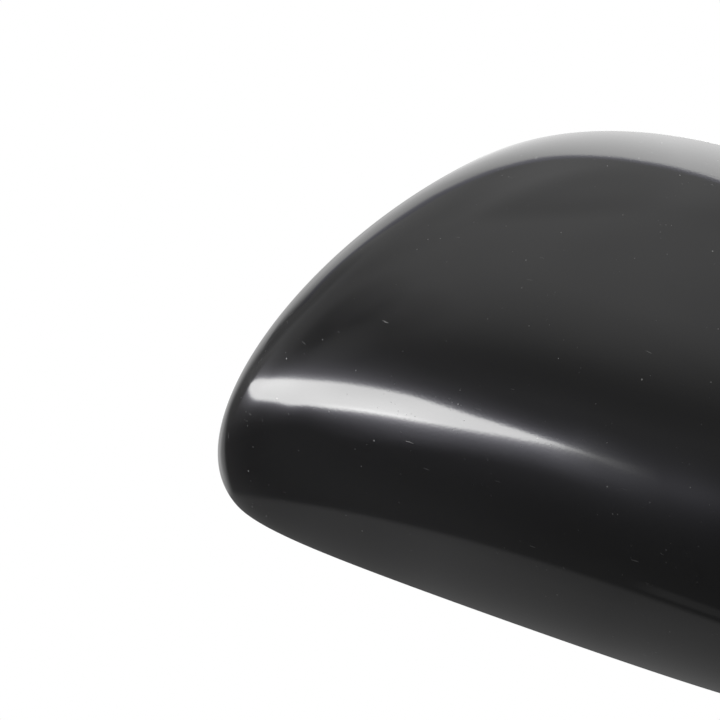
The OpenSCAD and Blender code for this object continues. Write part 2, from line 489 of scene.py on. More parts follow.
def locating_pin(parts, place):
    """A pin on a bracket that a web carries below it."""
    inner_x = -PIN_OFF - PIN_R - BRACKET_LEDGE
    bracket = rounded(root_outline(place, 0, BRACKET_T) + [
        (inner_x, BRACKET_T, BRACKET_R),
        (inner_x, 0, BRACKET_R),
    ])
    points, faces = prism(bracket, 2 * (PIN_R + BRACKET_LEDGE), BRACKET_SOFT)
    parts.add(at_place(place, points), faces)
    web = rounded(root_outline(place, -PIN_L, 0) + [
        (inner_x + PIN_WEB_R, 0, PIN_WEB_R),
        (inner_x + PIN_WEB_R, -PIN_WEB_DROP, PIN_WEB_R),
        (skin_x(place, -PIN_L) - BITE, -PIN_L, PIN_WEB_FOOT_R),
    ])
    points, faces = prism(web, BRACKET_T, WEB_SOFT)
    parts.add(at_place(place, points), faces)
    foot = BRACKET_T
    tip = foot + PIN_L
    end = tip + PIN_TIP_L
    end_r = PIN_R - PIN_TIP_L / 2
    profile = [(0, foot - PIN_SUNK), (PIN_R + PIN_FOOT_R, foot - PIN_FOOT_SUNK)]
    for bend in np.linspace(0, math.pi / 2, FILLET_STEPS + 1):
        off, rise = PIN_FOOT_R * (1 - math.sin(bend)), PIN_FOOT_R * (1 - math.cos(bend))
        profile.append((PIN_R + off, foot + rise))
    profile += [(PIN_R, tip), (end_r + PIN_TIP_SOFT[0], end - PIN_TIP_SOFT[1]), (end_r, end), (0, end)]
    points, faces = revolved(profile)
    parts.add(at_place(place, points, (-PIN_OFF, 0, 0)), faces)


def screw_boss(parts, place):
    """A round boss with a pilot bore, joined to the wall by a web."""
    web_l = BOSS_L * BOSS_WEB_SHARE
    web = rounded(root_outline(place, 0, web_l) + [
        (-BOSS_OFF, web_l, BOSS_WEB_R),
        (-BOSS_OFF, 0, BOSS_WEB_R),
    ])
    points, faces = prism(web, BOSS_WEB_T, WEB_SOFT)
    parts.add(at_place(place, points), faces)
    bore_end = BOSS_L - BOSS_BORE_L
    mid = BOSS_SOFT * ROUND_SHARE
    profile = [
        (0, 0),
        (BOSS_R - BOSS_BASE_SOFT, 0),
        (BOSS_R, BOSS_BASE_SOFT),
        (BOSS_R, BOSS_L - BOSS_SOFT),
        (BOSS_R - mid, BOSS_L - mid),
        (BOSS_R - BOSS_SOFT, BOSS_L),
        (BOSS_BORE_R + BOSS_SOFT, BOSS_L),
        (BOSS_BORE_R, BOSS_L - BOSS_SOFT),
        (BOSS_BORE_R, bore_end),
        (0, bore_end - BOSS_BORE_TIP),
    ]
    points, faces = revolved(profile)
    parts.add(at_place(place, points, (-BOSS_OFF, 0, 0)), faces)


def rib_heights(count):
    """Heights at count places along a rib, smoothed where its ends run out."""
    t = np.linspace(0, 1, count)
    heights = np.maximum(RIB_H * np.minimum(1, np.minimum(t, 1 - t) / RIB_RUNOUT), RIB_END_H)
    kernel = np.ones(RIB_SMOOTH) / RIB_SMOOTH
    return np.convolve(np.pad(heights, RIB_SMOOTH // 2, mode="edge"), kernel, mode="valid")[:, None]


def bar(parts, rings):
    """A closed bar whose long edges are these rows of points, in order round it."""
    total, count = len(rings), len(rings[0])
    faces = []
    for r in range(total):
        here, there = r * count, (r + 1) % total * count
        for i in range(count - 1):
            faces.append((here + i, there + i, there + i + 1, here + i + 1))
    faces.append(tuple(r * count for r in range(total))[::-1])
    faces.append(tuple(r * count + count - 1 for r in range(total)))
    parts.add(np.concatenate(rings), faces)


def rib(parts, origins, way, across):
    """A rib on seats at these origins, each reached along way; across is the rib's own normal."""
    seats = reach(origins, way, WALL)[:, None]
    root = origins + way * (seats + BITE)
    edge = origins + way * (seats - rib_heights(len(origins)))
    half = RIB_T / 2
    mid = SOFT_EDGE * ROUND_SHARE
    soft = [(half, SOFT_EDGE), (half - mid, mid), (half - SOFT_EDGE, 0)]
    rows = [(-level, drop) for level, drop in soft] + soft[::-1]
    rings = [edge + way * drop + across * level for level, drop in rows]
    rings += [root + across * half, root - across * half]
    bar(parts, rings)
    for side in (-1, 1):
        fillet(parts, origins, way, across * side)


def fillet(parts, origins, way, side):
    """The hollow fillet between one side of a rib and the inner skin."""
    half = RIB_T / 2

    def row(off, rise):
        start = origins + side * off
        return start + way * (reach(start, way, WALL)[:, None] - rise)

    rings = []
    for bend in np.linspace(0, math.pi / 2, FILLET_STEPS + 1):
        rings.append(row(half + FILLET * (1 - math.sin(bend)), FILLET * (1 - math.cos(bend))))
    rings += [row(half / 2, FILLET), row(half / 2, -BITE / 2), row(half + FILLET, -BITE / 2)]
    bar(parts, rings)


# Node helpers

class Nodes:
    """Short calls for building a node tree."""

    def __init__(self, tree):
        self.tree = tree
        tree.nodes.clear()

    def add(self, kind, inputs=None, **settings):
        node = self.tree.nodes.new(kind)
        for key, value in settings.items():
            setattr(node, key, value)
        for key, value in (inputs or {}).items():
            self.put(node.inputs[key], value)
        return node

    def put(self, socket, value):
        if isinstance(value, bpy.types.NodeSocket):
            self.tree.links.new(value, socket)
        elif isinstance(value, bpy.types.Node):
            self.tree.links.new(value.outputs[0], socket)
        else:
            socket.default_value = value

    def math(self, operation, a, b=0.0):
        return self.add("ShaderNodeMath", {0: a, 1: b}, operation=operation).outputs[0]

    def map_range(self, value, start, end, kind):
        """Level that goes from one pair of (value, level) to another, and is held outside them."""
        node = self.add("ShaderNodeMapRange", interpolation_type=kind)
        names = ("Value", "From Min", "From Max", "To Min", "To Max")
        for name, v in zip(names, (value, start[0], end[0], start[1], end[1])):
            self.put(node.inputs[name], v)
        return node.outputs["Result"]

    def step(self, value, low, high, to_low=0.0, to_high=1.0):
        """Smooth change from to_low at low to to_high at high."""
        return self.map_range(value, (low, to_low), (high, to_high), "SMOOTHSTEP")

    def line(self, value, start, end):
        """Straight change from one pair of (value, level) to another."""
        return self.map_range(value, start, end, "LINEAR")

    def ramp(self, value, stops):
        """Level at value along straight stretches between (value, level) stops."""
        share = self.line(value, (stops[0][0], 0.0), (stops[-1][0], 1.0))
        node = self.add("ShaderNodeValToRGB", {"Fac": share})
        marks = node.color_ramp.elements
        while len(marks) > 1:
            marks.remove(marks[-1])
        for i, (place, level) in enumerate(stops):
            at = (place - stops[0][0]) / (stops[-1][0] - stops[0][0])
            mark = marks[0] if i == 0 else marks.new(at)
            mark.position = at
            mark.color = (level, level, level, 1)
        return node.outputs["Color"]

    def mix(self, share, a, b):
        node = self.add("ShaderNodeMix", {"Factor": share, "A": a, "B": b}, data_type="RGBA")
        return node.outputs["Result"]

    def noise(self, place, scale, detail, distortion=0.0):
        inputs = {"Vector": place, "Scale": scale, "Detail": detail, "Distortion": distortion}
        return self.add("ShaderNodeTexNoise", inputs).outputs["Fac"]

    def bump(self, height, strength, depth, under=None):
        """Normal bumped by that height, depth in metres, on top of the normal under it."""
        inputs = {"Height": height, "Strength": strength, "Distance": depth}
        if under is not None:
            inputs["Normal"] = under
        return self.add("ShaderNodeBump", inputs).outputs["Normal"]


def new_material(name):
    material = bpy.data.materials.new(name)
    material.use_nodes = True
    return material, Nodes(material.node_tree)


# Materials

BLACK = ((0.0040, 0.0040, 0.0043, 1), (0.0062, 0.0061, 0.0064, 1))
SATIN = ((0.014, 0.014, 0.015, 1), (0.021, 0.021, 0.022, 1))
DUST = (0.9, 0.9, 0.88, 1)
WHITE = (1, 1, 1, 1)
# Kinds of dust and lint: places a metre, share of them taken (None: crowded in patches), size, turn and
# stretch of the places, then how rare the pale ones are, how pale the palest is and how pale the faintest
SPECKS = [
    (700.0, None, 0.16, (0, 0, 0), (1, 1, 1), 5.0, 0.2, 0.022),
    (230.0, 0.3, 0.05, (0, 0, 0), (1, 1, 1), 5.0, 0.35, 0.05),
    (60.0, 0.35, 0.08, (0.3, 0.5, 0.9), (1, 1, 12), 3.0, 0.06, 0.03),
    (60.0, 0.35, 0.08, (0.9, 0.2, 0.1), (1, 12, 1), 3.0, 0.06, 0.03),
]
# Noises of the surfaces: cells a metre and detail, and distortion for the flow clouds
CLOUD = (22.0, 3.0)
CROWD = (55.0, 2.0)
RIPPLE = (70.0, 1.0)
GRAIN = (1300.0, 3.0)
FLOW = (30.0, 4.0, 0.6)
SPARK = (2600.0, 2.0)
# Bumps: strength, and depth in metres
RIPPLE_BUMP = (0.3, 0.00003)
GRAIN_BUMP = (0.5, 0.00001)
DUST_BUMP = (0.5, 0.00004)
SPARK_BUMP = (0.35, 0.00006)
# Two noise levels and the values there: share of places with dust, roughness of the black under the coat and
# of the satin; then the coat's roughness, and the refraction of coat and plastic
CROWD_SHARE = (0.48, 0.75, 0.05, 0.8)
UNDER_ROUGH = (0.2, 0.8, 0.26, 0.32)
SATIN_ROUGH = (0.3, 0.7, 0.38, 0.5)
COAT_ROUGH = 0.06
IOR = 1.5


def specks(n, place, density, share, size, turn, stretch):
    """Specks of one kind: where they are, and a chance of each for its paleness."""
    way = n.add("ShaderNodeMapping", {"Vector": place, "Rotation": turn, "Scale": stretch})
    cells = n.add("ShaderNodeTexVoronoi", {"Vector": way, "Scale": density}, feature="F1")
    chance = n.add("ShaderNodeSeparateColor", {"Color": cells.outputs["Color"]})
    radius = n.step(chance.outputs[0], n.math("SUBTRACT", 1.0, share), 1.0, 0.0, size)
    return n.math("LESS_THAN", cells.outputs["Distance"], radius), chance.outputs[1]


def gloss_black():
    """Gloss black show surface: a clear coat over black, with a faint ripple, fine grain and settled dust."""
    material, n = new_material("gloss_black")
    place = n.add("ShaderNodeTexCoord").outputs["Object"]
    cloud = n.noise(place, *CLOUD)
    crowd = n.step(n.noise(place, *CROWD), *CROWD_SHARE)
    base = n.mix(cloud, *BLACK)
    dust = 0.0
    for density, share, size, turn, stretch, rarity, palest, faintest in SPECKS:
        speck, chance = specks(n, place, density, crowd if share is None else share, size, turn, stretch)
        pale = n.math("ADD", n.math("MULTIPLY", n.math("POWER", chance, rarity), palest), faintest)
        base = n.mix(n.math("MULTIPLY", speck, pale), base, DUST)
        dust = n.math("MAXIMUM", dust, n.math("MULTIPLY", speck, n.math("POWER", chance, 0.5)))
    ripple = n.bump(n.noise(place, *RIPPLE), *RIPPLE_BUMP)
    grain = n.bump(n.noise(place, *GRAIN), *GRAIN_BUMP, ripple)
    shine = n.add("ShaderNodeBsdfPrincipled", {
        "Base Color": base,
        "Roughness": n.step(cloud, *UNDER_ROUGH),
        "IOR": IOR,
        "Specular IOR Level": 0.0,
        "Coat Weight": 1.0,
        "Coat Roughness": COAT_ROUGH,
        "Coat IOR": IOR,
        "Coat Normal": n.bump(dust, *DUST_BUMP, grain),
    })
    n.add("ShaderNodeOutputMaterial", {"Surface": shine.outputs["BSDF"]})
    return material


def moulded_black():
    """Satin black inside, as it leaves the mould: fine spark texture and faint flow clouds."""
    material, n = new_material("moulded_black")
    place = n.add("ShaderNodeTexCoord").outputs["Object"]
    flow = n.noise(place, *FLOW)
    shine = n.add("ShaderNodeBsdfPrincipled", {
        "Base Color": n.mix(flow, *SATIN),
        "Roughness": n.step(flow, *SATIN_ROUGH),
        "IOR": IOR,
        "Normal": n.bump(n.noise(place, *SPARK), *SPARK_BUMP),
    })
    n.add("ShaderNodeOutputMaterial", {"Surface": shine.outputs["BSDF"]})
    return material


GLOSS = gloss_black()
MOULDED = moulded_black()


# The cover's shell

def arc_ring(arcs):
    """A closed ring of points: along the rear arc, then back along the bottom arc."""
    return np.concatenate([arcs[0], arcs[1][-2:0:-1]])


def patch_faces(ids, flip):
    """Faces over a patch whose two end columns each shrink to one corner point."""
    faces = []
    rows, columns = ids.shape
    for k in range(rows - 1):
        for j in range(columns - 1):
            quad = [ids[k, j], ids[k, j + 1], ids[k + 1, j + 1], ids[k + 1, j]]
            face = list(dict.fromkeys(quad))
            if len(face) > 2:
                faces.append(face[::-1] if flip else face)
    return faces


def patch_ids(ring_start, inner_start, steps):
    """Point numbers of a patch, its border taken from the ring."""
    ids = np.zeros((RIM_STEPS + 1, steps + 1), int)
    ids[:, 0] = ring_start + np.arange(RIM_STEPS + 1)
    back = ring_start + 2 * RIM_STEPS - np.arange(RIM_STEPS + 1)
    back[0] = ring_start
    ids[:, -1] = back
    ids[1:-1, 1:-1] = inner_start + np.arange((RIM_STEPS - 1) * (steps - 1)).reshape(RIM_STEPS - 1, steps - 1)
    ids[0, :] = ring_start
    ids[-1, :] = ring_start + RIM_STEPS
    return ids


def shell():
    """The wall as one closed mesh: show surface, rounded edge, lip, seat and inner skin."""
    ring_size = 2 * RIM_STEPS
    rings = [arc_ring(outer_arcs)]
    for k in range(1, EDGE_STEPS + 1):
        bend = math.pi / 2 * k / EDGE_STEPS
        rings.append(arc_ring(rim_arcs(EDGE_R * (1 - math.sin(bend)), EDGE_R * (1 - math.cos(bend)))))
    mid = LIP_SOFT * ROUND_SHARE
    lip_loops = [
        (0, LIP_T - LIP_SOFT),
        (mid, LIP_T - mid),
        (LIP_SOFT, LIP_T),
        (LIP_H - LIP_SEAT_R, LIP_T),
        (LIP_H, LIP_T + LIP_SOFT),
        (LIP_H, WALL - LIP_SOFT),
        (LIP_H + mid, WALL - mid),
        (LIP_H + LIP_SOFT, WALL),
    ]
    for inside, inset in lip_loops:
        rings.append(arc_ring(rim_arcs(inside, inset)))
    inner_arcs = rim_arcs(LIP_H + LIP_SOFT, WALL)
    inner_rows = skin_patch(inner_arcs, WALL, INNER_STEPS)[1:-1, 1:-1]
    outer_rows = outer_patch[1:-1, 1:-1]
    points = np.concatenate(rings + [outer_rows.reshape(-1, 3), inner_rows.reshape(-1, 3)])
    outer_start = len(rings) * ring_size
    inner_start = outer_start + outer_rows.shape[0] * outer_rows.shape[1]
    outer_ids = patch_ids(0, outer_start, OUTER_STEPS)
    inner_ids = patch_ids((len(rings) - 1) * ring_size, inner_start, INNER_STEPS)
    outer_faces = patch_faces(outer_ids, False)
    rim_faces = [f[::-1] for f in ring_faces(len(rings), ring_size)]
    inner_faces = patch_faces(inner_ids, True)
    faces = outer_faces + rim_faces + inner_faces
    # The gloss covers the rounded edge, the flat of the rim and the start of the lip's rounding
    glossy_rim = (EDGE_STEPS + 2) * ring_size
    kinds = np.concatenate([
        np.zeros(len(outer_faces), int),
        (np.arange(len(rim_faces)) >= glossy_rim).astype(int),
        np.ones(len(inner_faces), int),
    ])
    normals = np.zeros_like(points)
    outer_points = np.concatenate([np.arange(ring_size), np.arange(outer_start, inner_start)])
    normals[outer_points] = outward(points[outer_points], 0)
    inner_points = np.arange(inner_start, len(points))
    normals[inner_points] = -outward(points[inner_points], WALL)
    piece = new_piece("mirror_cover_shell", points, faces, [GLOSS, MOULDED], kinds, normals)
    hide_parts(NODE)


def rear_features():
    """Hooks, pins and boss along the rear rim."""
    hooks = Parts()
    for angle in REAR_HOOKS:
        snap_hook(hooks, rear_place(angle, HOOK_INSET + HOOK_L))
    hooks.piece("rear_snap_hooks", MOULDED)
    pins = Parts()
    for angle in REAR_PINS:
        locating_pin(pins, rear_place(angle, PIN_INSET + PIN_TIP_L + PIN_L + BRACKET_T))
    pins.piece("locating_pins", MOULDED)
    boss = Parts()
    screw_boss(boss, rear_place(BOSS_ANGLE, BOSS_INSET + BOSS_L))
    boss.piece("screw_boss", MOULDED)


def front_features():
    """Hooks along the bottom edge."""
    hooks = Parts()
    for angle in FRONT_HOOKS:
        snap_hook(hooks, front_place(angle, FRONT_HOOK_H))
    hooks.piece("front_snap_hooks", MOULDED)


def ribs():
    """Ribs across the dome and one along it."""
    bodies = Parts()
    for i in range(RIBS):
        x = (i - (RIBS - 1) / 2) * RIB_PITCH
        a = np.radians(np.linspace(RIB_FROM, RIB_TO, RIB_STEPS + 1))
        way = np.stack([0 * a, -np.cos(a), np.sin(a)], 1)
        origins = np.tile([x, 0.0, 0.0], (len(a), 1))
        rib(bodies, origins, way, np.array([1.0, 0, 0]))
    half = OUTLINE[2] * LONG_RIB_SPAN
    x = np.linspace(-half, half, RIB_STEPS + 1)
    a = math.radians(LONG_RIB_ANGLE)
    way = np.tile([0.0, -math.cos(a), math.sin(a)], (len(x), 1))
    origins = np.stack([x, 0 * x, 0 * x], 1)
    rib(bodies, origins, way, np.array([0.0, math.sin(a), math.cos(a)]))
    bodies.piece("stiffening_ribs", MOULDED)


def ejector_marks():
    """Low round pads that the mould's ejector pins leave on the inner skin."""
    marks = Parts()
    profile = [
        (0, -BITE / 2),
        (EJECTOR_R, -BITE / 2),
        (EJECTOR_R, EJECTOR_H - EJECTOR_SOFT),
        (EJECTOR_R - EJECTOR_SOFT, EJECTOR_H),
        (0, EJECTOR_H),
    ]
    for x, angle in EJECTORS:
        a = math.radians(angle)
        origin = np.array([x, 0.0, 0.0])
        way = np.array([0.0, -math.cos(a), math.sin(a)])
        point = origin + reach(origin, way, WALL) * way
        inward = -outward(point, WALL)
        side = unit(np.cross(inward, [1.0, 0, 0]))
        points, faces = revolved(profile)
        marks.add(at_place((point, side, inward), points), faces)
    marks.piece("ejector_marks", MOULDED)


# Stage

def stage_mesh(name, points, faces, material):
    mesh = bpy.data.meshes.new(name)
    mesh.from_pydata([tuple(p) for p in points], [], faces)
    mesh.materials.append(material)
    mesh.update()
    thing = bpy.data.objects.new(name, mesh)
    bpy.context.scene.collection.objects.link(thing)
    return thing


def glow(name, strength, added, throw):
    """Light of that strength, scaled by the mesh's own level and tinted by its own tint.

    Added light lets what lies behind it through, and a throw is the distance over which it fades out.
    """
    material, n = new_material(name)
    level = n.add("ShaderNodeAttribute", attribute_name="level").outputs["Fac"]
    tint = n.add("ShaderNodeAttribute", attribute_name="tint").outputs["Fac"]
    if throw:
        length = n.add("ShaderNodeLightPath").outputs["Ray Length"]
        level = n.math("MULTIPLY", level, n.step(length, throw[0] * MM, throw[1] * MM, 1.0, 0.0))
    light = n.add("ShaderNodeEmission", {
        "Color": n.mix(tint, WHITE, HALO_TINT),
        "Strength": n.math("MULTIPLY", level, strength),
    }).outputs[0]
    if added:
        light = n.add("ShaderNodeAddShader", {0: light, 1: n.add("ShaderNodeBsdfTransparent")}).outputs[0]
    n.add("ShaderNodeOutputMaterial", {"Surface": light})
    return material


def lit_mesh(name, points, faces, levels, tints, strength=1.0, added=False, throw=None):
    """A lit stage panel whose light varies from point to point."""
    thing = stage_mesh(name, points, faces, glow(name + "_glow", strength, added, throw))
    for key, values in (("level", levels), ("tint", tints)):
        thing.data.attributes.new(key, "FLOAT", "POINT").data.foreach_set("value", values)
    thing.visible_camera = False
    return thing


# Strip light on a cylinder round the cover: azimuth, height of its lower and upper edge, share of its light
# at each, and how wide its glow spreads beyond each
STRIP_RADIUS = 450.0
STRIP = [
    (-94.8, -5, -1, 0.24, 0.24, 0.9, 1.0),
    (-94.2, -6.7, 4.5, 0.27, 0.27, 0.9, 1.0),
    (-93, -8.7, 10.5, 0.3, 0.3, 0.85, 1.0),
    (-91, -10.3, 18, 0.34, 0.34, 0.8, 0.95),
    (-86, -13.2, 31.5, 0.4, 0.42, 0.75, 0.9),
    (-81, -13.5, 41, 0.48, 0.53, 0.75, 0.95),
    (-75, -10, 53.5, 0.57, 0.65, 0.75, 1.1),
    (-68, -8.5, 64, 0.68, 0.77, 0.85, 1.35),
    (-61, -13.5, 71, 0.77, 0.83, 0.8, 1.5),
    (-55, -9, 77, 0.88, 0.87, 0.85, 1.55),
    (-48, -9.5, 81.5, 0.98, 0.87, 1.2, 1.5),
    (-39, -3, 84, 1.1, 0.93, 1.75, 1.15),
    (-34, 3, 77.5, 1.04, 1.0, 1.95, 1.1),
    (-29, 18, 70.5, 1.0, 0.99, 1.95, 1.05),
    (-26, 30, 69.5, 1.0, 0.98, 2.1, 1.0),
    (-23.4, 40.5, 69, 0.98, 0.98, 2.1, 0.95),
    (-21.5, 49.5, 69, 0.9, 0.97, 2.5, 1.0),
    (-19.5, 57, 70, 0.72, 0.82, 3.1, 1.2),
    (-18, 60.5, 72, 0.45, 0.52, 3.8, 1.7),
    (-16, 61, 77, 0.22, 0.24, 5.0, 3.4),
    (-14, 61, 82, 0.12, 0.13, 5.0, 5.0),
    (-9, 64, 98, 0.035, 0.035, 5.0, 5.0),
    (-4, 72, 120, 0.0, 0.0, 5.0, 5.0),
]
STRIP_STEPS = 8
STRIP_GLOW = 14.2
# Distance from the cover over which the strip light fades out
STRIP_THROW = (418.0, 438.0)
# Edge of the strip light: degrees outside its edge, share of its light
STRIP_EDGE = [
    (-2.2, 1.0),
    (-1.0, 1.0),
    (-0.4, 0.92),
    (0.0, 0.6),
    (0.4, 0.34),
    (0.8, 0.22),
    (1.6, 0.12),
    (2.4, 0.077),
    (4.0, 0.038),
    (6.0, 0.016),
    (9.0, 0.005),
    (12.0, 0.0),
]
# Least distance of its rows from its middle line, as a share of its half width
STRIP_CORE = 0.1
# Bright line just inside its lower edge: azimuth and gain, then its place in degrees outside the edge
STRIP_LINE = [(-54, 1.0), (-45, 1.25), (-37, 1.2), (-31, 1.0)]
LINE_INSIDE = -1.0
# Colour of light scattered by the finest scratches
HALO_TINT = (0.998, 0.992, 1.13, 1)


def spline(knots, steps):
    """Points of a smooth curve through the knots."""
    k = np.array(knots, float)
    k = np.concatenate([[2 * k[0] - k[1]], k, [2 * k[-1] - k[-2]]])
    out = []
    for i in range(1, len(k) - 2):
        for s in range(steps):
            t = s / steps
            out.append(0.5 * (2 * k[i] + (k[i + 1] - k[i - 1]) * t
                              + (2 * k[i - 1] - 5 * k[i] + 4 * k[i + 1] - k[i + 2]) * t ** 2
                              + (3 * k[i] - k[i - 1] - 3 * k[i + 1] + k[i + 2]) * t ** 3))
    out.append(k[-2])
    return np.array(out)


def on_cylinder(azimuth, height):
    """Points in metres on the strip light's cylinder."""
    a = np.radians(azimuth)
    return np.stack([np.sin(a), -np.cos(a), height / STRIP_RADIUS], 1) * STRIP_RADIUS * MM


def strip_light():
    """The strip light with its soft edges; its left end fades over columns ahead of the first knot."""
    curve = spline(STRIP, STRIP_STEPS)
    degree = math.radians(1) * STRIP_RADIUS
    fade = [(away, share) for away, share in STRIP_EDGE[::-1] if away > 0]
    ahead = np.repeat(curve[:1], len(fade), 0)
    ahead[:, 0] -= [away for away, share in fade]
    ahead[:, 3:5] *= np.array([share for away, share in fade])[:, None]
    azimuth, lower, upper, low_light, high_light, low_spread, high_spread = np.concatenate([ahead, curve]).T
    half = (upper - lower) / 2
    middle = (upper + lower) / 2
    line = np.interp(azimuth, *np.array(STRIP_LINE).T)
    rows = [(1, away, share, high_light, high_spread) for away, share in STRIP_EDGE[::-1]]
    rows += [(-1, away, share, low_light, low_spread) for away, share in STRIP_EDGE]
    points, levels, tints = [], [], []
    for side, away, share, light, spread in rows:
        if away == LINE_INSIDE and side < 0:
            light = light * line
        if away < 0:
            spread = 1
        height = middle + side * np.maximum(half + away * spread * degree, STRIP_CORE * half)
        points.append(on_cylinder(azimuth, height))
        levels.append(share * np.clip(light, 0, None))
        tints.append(np.full(len(azimuth), (1 - share) ** 2))
    faces = ring_faces(len(rows), len(azimuth), closed=False)
    points, levels, tints = (np.concatenate(values) for values in (points, levels, tints))
    lit_mesh("strip_light", points, faces, levels, tints, STRIP_GLOW, added=True, throw=STRIP_THROW)


# Wide glow round the strip light's right end: azimuth, height of its middle line, light there
SPILL = [
    (-70, 20, 0.0),
    (-45, 30, 0.12),
    (-32, 30, 0.42),
    (-22, 40, 0.66),
    (-14, 46, 0.7),
    (-5, 72, 0.66),
    (5, 98, 0.62),
    (20, 135, 0.35),
    (45, 200, 0.0),
]
# Height over which it halves, how many of those it reaches, and its rows
SPILL_HALF = 75.0
SPILL_REACH = 5.0
SPILL_ROWS = 60


def strip_spill():
    """The wide glow, on the strip light's cylinder."""
    azimuth, middle, light = spline(SPILL, STRIP_STEPS).T
    points, levels = [], []
    for away in np.linspace(-SPILL_REACH, SPILL_REACH, SPILL_ROWS + 1):
        points.append(on_cylinder(azimuth, middle + away * SPILL_HALF))
        levels.append(light * (1 / (1 + away ** 2) - 1 / (1 + SPILL_REACH ** 2)))
    faces = ring_faces(SPILL_ROWS + 1, len(azimuth), closed=False)
    levels = np.concatenate(levels)
    lit_mesh("strip_spill", np.concatenate(points), faces, levels, np.ones(len(levels)), added=True)


# Bright panel behind the cover, square to the camera's azimuth: across, height and softness of its upper
# edge, light at its foot, light at its top, light of the surroundings above it
PANEL_BEHIND = 400.0
PANEL_STEP = 10.0
PANEL = [
    (-260, 60, 10, 0.12, 0.12, 0.12),
    (-240, 60, 10, 0.17, 0.17, 0.15),
    (-220, 61, 10, 0.31, 0.31, 0.17),
    (-203, 62, 10, 0.46, 0.46, 0.19),
    (-187, 64, 10, 0.56, 0.56, 0.21),
    (-168, 80, 14, 0.63, 0.63, 0.23),
    (-150, 94, 17, 0.67, 0.65, 0.24),
    (-110, 118, 16, 0.68, 0.64, 0.27),
    (-80, 155, 13, 0.65, 0.75, 0.37),
    (-50, 210, 12, 0.66, 1.25, 0.49),
    (-25, 271, 8, 0.86, 1.9, 0.62),
    (10, 340, 8, 1.6, 2.57, 0.75),
    (50, 402, 8, 2.9, 3.25, 0.82),
    (90, 456, 8, 3.9, 3.5, 0.86),
    (140, 510, 15, 3.8, 3.4, 0.85),
    (260, 610, 60, 2.0, 1.7, 0.65),
    (400, 680, 100, 0.9, 2.9, 2.1),
    (480, 690, 100, 0.6, 2.9, 2.1),
]
# Its rows: shares of the height below the soft edge, then softnesses past the edge with shares of the top
# light
PANEL_RISE = (0.0, 0.25, 0.5, 0.75, 1.0)
PANEL_FADE = [(-0.4, 0.85), (0.0, 0.5), (0.3, 0.25), (1.0, 0.1), (2.5, 0.0)]


def back_panel():
    """The bright panel, in rows from its foot to past its upper edge."""
    a = math.radians(CAMERA_AZIMUTH)
    sideways = np.array([math.cos(a), math.sin(a), 0])
    away = np.array([-math.sin(a), math.cos(a), 0])
    knots = np.array(PANEL, float).T
    across = np.arange(knots[0, 0], knots[0, -1] + PANEL_STEP, PANEL_STEP)
    edge, soft, foot, top, above = (np.interp(across, knots[0], row) for row in knots[1:])
    full = np.maximum(edge - soft, 0)
    rows = [(full * rise, foot + (top - foot) * rise) for rise in PANEL_RISE]
    for past, share in PANEL_FADE:
        rows.append((np.maximum(edge + past * soft, full), above + (top - above) * share))
    foot_line = away * PANEL_BEHIND + sideways * across[:, None]
    up = np.array([0, 0, 1])
    points = np.concatenate([(foot_line + up * height[:, None]) * MM for height, level in rows])
    levels = np.concatenate([level for height, level in rows])
    tints = np.repeat([0] * len(PANEL_RISE) + [1 - share for past, share in PANEL_FADE], len(across))
    faces = ring_faces(len(rows), len(across), closed=False)
    lit_mesh("back_panel", points, faces, levels, tints)


# Floor: white to the camera, while reflections see it only near the cover, as a pale ellipse round the bottom
# edge: its centre and half sizes, the distances outside it between which it fades in, and its light by x
FLOOR_HALF = 3000.0
PALE_CENTRE = (25.0, 0.0)
PALE_SIZE = (140.0, 61.0)
PALE_EDGE = (2.5, -2.5)
PALE = [
    (-115, 0.27),
    (-100, 0.235),
    (-88, 0.25),
    (-73, 0.295),
    (-50, 0.315),
    (-28, 0.37),
    (30, 0.35),
    (60, 0.43),
    (80, 0.46),
]
# A faint second band outside it at the right: where it starts by x, its two edges as distances, its light
BAND_FROM = (28.0, 46.0)
BAND_NEAR = (2.5, 5.5)
BAND_FAR = (12.5, 9.0)
BAND_GLOW = 0.13
# Shade towards the cover: from open floor to the edge by y, and the share of light left at the left and right
PALE_OPEN = -48.0
PALE_CONTACT = -22.0
CONTACT_LEFT = (-40.0, 0.47)
CONTACT_RIGHT = (40.0, 0.76)
# Keeps a division or a root off zero
TINY = 0.0001


